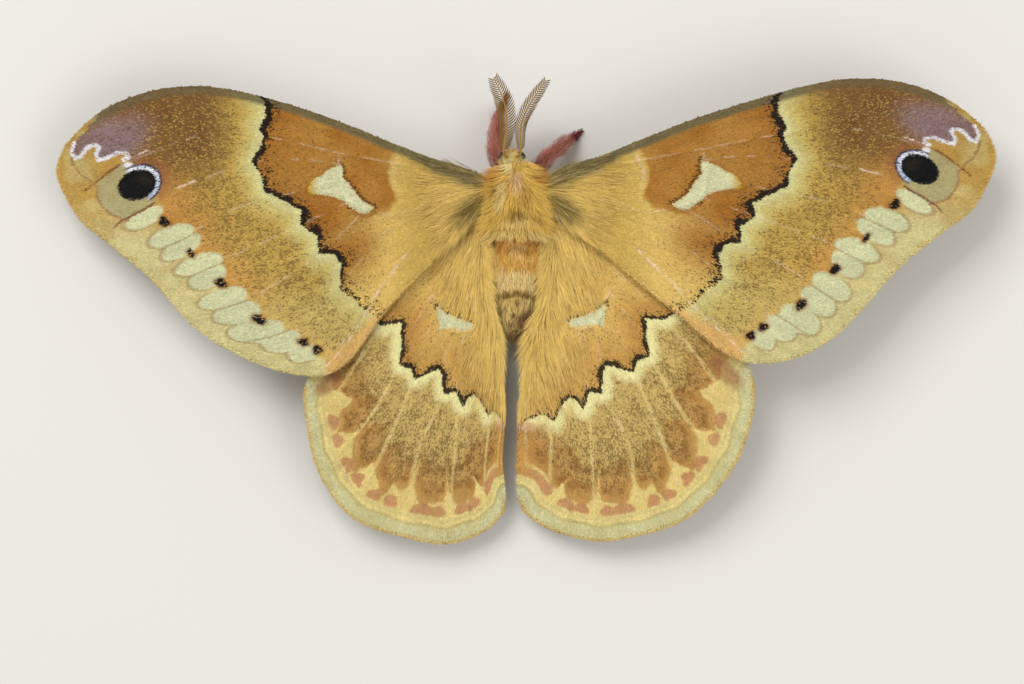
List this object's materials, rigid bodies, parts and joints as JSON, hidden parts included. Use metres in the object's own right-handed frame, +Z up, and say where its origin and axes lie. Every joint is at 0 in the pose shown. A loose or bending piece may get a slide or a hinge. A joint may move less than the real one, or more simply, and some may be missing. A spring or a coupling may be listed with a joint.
{
  "type": "sweetbay silkmoth",
  "caption": "Life-size giant silkmoth at rest with its wings spread flat and its antennae and forelegs reaching forwards.",
  "frame": {"origin": "on the floor under the middle of the box round the whole moth", "axes": "+X towards the moth's right wing tip, +Y towards its head, +Z up from the floor that its feet rest on"},
  "size_m": [0.0941, 0.047, 0.0088],
  "materials": {
    "thorax_coat": "long soft hair",
    "head_coat": "soft hair",
    "abdomen_coat": "short velvety hair",
    "eye": "glossy, finely faceted",
    "antenna": "matt, comb-like",
    "forewing": "matt scales with a faint sheen",
    "hindwing": "matt scales with a faint sheen",
    "leg": "close soft hair"
  },
  "bodies": {
    "root": {"thorax": "thorax_coat", "head": "head_coat", "abdomen": "abdomen_coat", "eye_left": "eye", "eye_right": "eye", "antenna_left": "antenna", "antenna_right": "antenna", "forewing_left": "forewing", "forewing_right": "forewing", "hindwing_left": "hindwing", "hindwing_right": "hindwing", "leg_front_left": "leg", "leg_front_right": "leg", "leg_mid_left": "leg", "leg_mid_right": "leg", "leg_hind_left": "leg", "leg_hind_right": "leg"}
  },
  "joints": []
}
